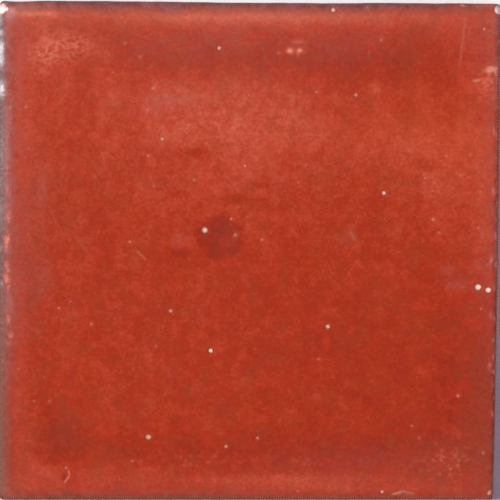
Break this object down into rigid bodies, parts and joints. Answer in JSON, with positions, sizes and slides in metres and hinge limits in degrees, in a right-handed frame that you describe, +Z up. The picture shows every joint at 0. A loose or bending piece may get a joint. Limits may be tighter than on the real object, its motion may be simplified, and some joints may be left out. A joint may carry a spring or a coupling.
{
  "type": "terracotta floor tile",
  "caption": "Square hand-cut floor tile of red-glazed terracotta with a cushioned face, softened edges and a grooved back, bedded in mortar to pave a floor.",
  "frame": {"origin": "Middle of the base's bounding box, on the flat that beds on the floor.", "axes": "+Z up out of the glazed face, +Y to the back side along the keying grooves, +X to the right side."},
  "size_m": [0.1547, 0.1538, 0.01],
  "materials": {
    "glazed_terracotta": "gloss"
  },
  "bodies": {
    "root": {"tile": "glazed_terracotta"}
  },
  "joints": []
}
